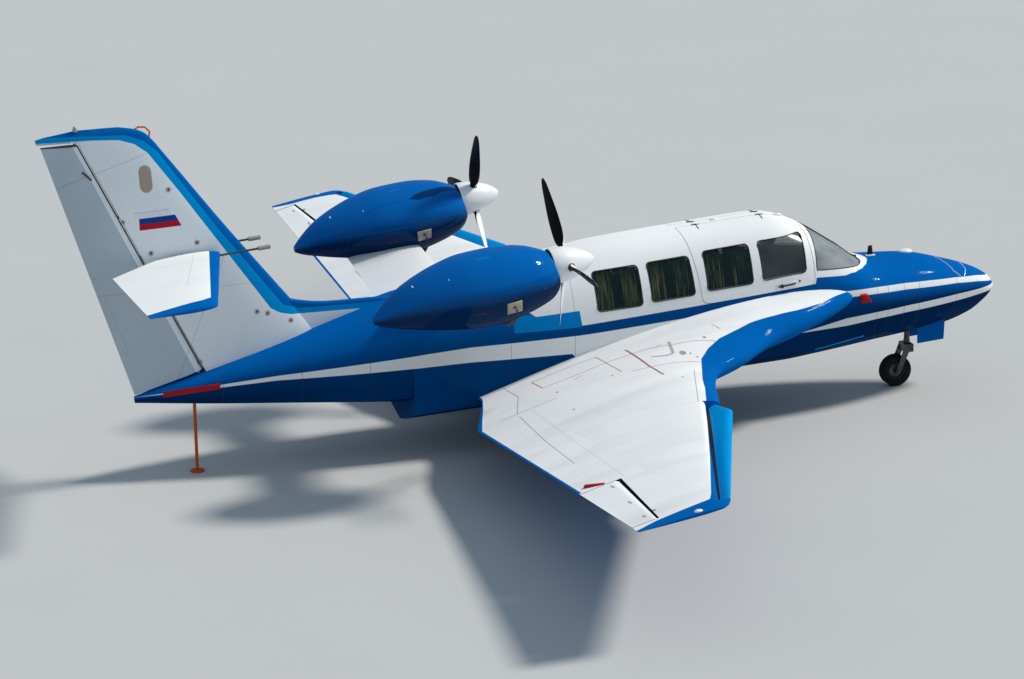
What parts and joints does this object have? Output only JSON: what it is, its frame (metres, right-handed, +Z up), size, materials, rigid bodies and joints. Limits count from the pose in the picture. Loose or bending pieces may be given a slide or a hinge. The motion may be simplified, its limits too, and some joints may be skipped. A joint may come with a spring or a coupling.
{
  "type": "flying boat",
  "caption": "Light twin-engined amphibian with a stepped hull, swept gull-root wings, propellers ahead of raised nacelles, and an all-moving tailplane half way up the fin.",
  "frame": {"origin": "on the ground below the middle of the length, between the wheels", "axes": "+X towards the nose, +Y to port, across the span, +Z up"},
  "size_m": [10.65, 12.72, 3.725],
  "materials": {
    "white_paint": "gloss white paint, weathered",
    "blue_paint": "gloss blue paint, weathered",
    "tinted_glass": "tinted, clear",
    "seat_fabric": "woven",
    "dark_plastic": "matt",
    "dark_steel": "dull, oiled",
    "engine_iron": "as cast",
    "blade_paint": "matt black",
    "tyre_rubber": "matt",
    "orange_paint": "worn"
  },
  "bodies": {
    "airframe": {"nose_section": "blue_paint", "hull_forebody": "blue_paint", "aft_fuselage": "blue_paint", "slat_left": "blue_paint", "slat_right": "blue_paint", "nacelle_left": "blue_paint", "nacelle_right": "blue_paint", "nose_gear_door_left": "blue_paint", "nose_gear_door_right": "blue_paint", "mid_fuselage": "white_paint", "cabin_shell": "white_paint", "wing_left": "white_paint", "wing_right": "white_paint", "fin": "white_paint", "pylon_left": "white_paint", "pylon_right": "white_paint", "window_1_left": "tinted_glass", "window_1_right": "tinted_glass", "window_2_left": "tinted_glass", "window_2_right": "tinted_glass", "windscreen_left": "tinted_glass", "windscreen_right": "tinted_glass", "seat_front_left": "seat_fabric", "seat_front_right": "seat_fabric", "seat_middle_left": "seat_fabric", "seat_middle_right": "seat_fabric", "seat_rear_left": "seat_fabric", "seat_rear_right": "seat_fabric", "instrument_panel": "dark_plastic", "nose_leg": "dark_steel", "main_leg_left": "dark_steel", "main_leg_right": "dark_steel", "engine_left": "engine_iron", "engine_right": "engine_iron", "tail_stand": "orange_paint"},
    "door_left": {"door_left": "white_paint", "window_3_left": "tinted_glass", "window_4_left": "tinted_glass"},
    "prop_left": {"propeller_left": "blade_paint", "spinner_left": "white_paint"},
    "main_wheel_left": {"main_wheel_left": "tyre_rubber"},
    "aileron_left": {"aileron_left": "white_paint"},
    "door_right": {"door_right": "white_paint", "window_3_right": "tinted_glass", "window_4_right": "tinted_glass"},
    "prop_right": {"propeller_right": "blade_paint", "spinner_right": "white_paint"},
    "main_wheel_right": {"main_wheel_right": "tyre_rubber"},
    "aileron_right": {"aileron_right": "white_paint"},
    "nose_fork": {"nose_fork": "dark_steel"},
    "nose_wheel": {"nose_wheel": "tyre_rubber"},
    "rudder": {"rudder": "white_paint", "rudder_tab": "white_paint"},
    "tailplane": {"tailplane_left": "white_paint", "tailplane_right": "white_paint", "tailplane_spar": "dark_steel"}
  },
  "joints": [
    {"name": "door_left_hinge", "type": "hinge", "parent": "airframe", "child": "door_left", "pos_m": [2.455, 0.044, 2.1537], "axis": [0.9984, 0, 0.0574], "range_deg": [0, 80]},
    {"name": "propeller_left_spin", "type": "hinge", "parent": "airframe", "child": "prop_left", "pos_m": [-0.37484, 1.524, 2.21571], "axis": [0.9945, 0, 0.1045], "continuous": true},
    {"name": "main_wheel_left_roll", "type": "hinge", "parent": "airframe", "child": "main_wheel_left", "pos_m": [0.175, 1.365, 0.222], "axis": [0, 1, 0], "continuous": true},
    {"name": "aileron_left_hinge", "type": "hinge", "parent": "airframe", "child": "aileron_left", "pos_m": [-0.939, 4.75, 0.9846], "axis": [-0.1199, 0.9879, 0.0986], "range_deg": [-20, 20]},
    {"name": "door_right_hinge", "type": "hinge", "parent": "airframe", "child": "door_right", "pos_m": [2.455, -0.044, 2.1537], "axis": [-0.9984, 0, -0.0574], "range_deg": [0, 80]},
    {"name": "propeller_right_spin", "type": "hinge", "parent": "airframe", "child": "prop_right", "pos_m": [-0.37484, -1.524, 2.21571], "axis": [0.9945, 0, 0.1045], "continuous": true},
    {"name": "main_wheel_right_roll", "type": "hinge", "parent": "airframe", "child": "main_wheel_right", "pos_m": [0.175, -1.365, 0.222], "axis": [0, 1, 0], "continuous": true},
    {"name": "aileron_right_hinge", "type": "hinge", "parent": "airframe", "child": "aileron_right", "pos_m": [-0.939, -4.75, 0.9846], "axis": [-0.1199, -0.9879, 0.0986], "range_deg": [-20, 20]},
    {"name": "nose_steering", "type": "hinge", "parent": "airframe", "child": "nose_fork", "pos_m": [4.285, 0, 0.5], "axis": [0, 0, 1], "range_deg": [-30, 30]},
    {"name": "nose_wheel_roll", "type": "hinge", "parent": "nose_fork", "child": "nose_wheel", "pos_m": [4.149, 0, 0.176], "axis": [0, 1, 0], "continuous": true},
    {"name": "rudder_hinge", "type": "hinge", "parent": "airframe", "child": "rudder", "pos_m": [-3.771, 0, 1.036], "axis": [-0.4204, 0, 0.9073], "range_deg": [-25, 25]},
    {"name": "tailplane_pivot", "type": "hinge", "parent": "airframe", "child": "tailplane", "pos_m": [-3.985, 0, 2.27], "axis": [0, 1, 0], "range_deg": [-8, 16]}
  ]
}
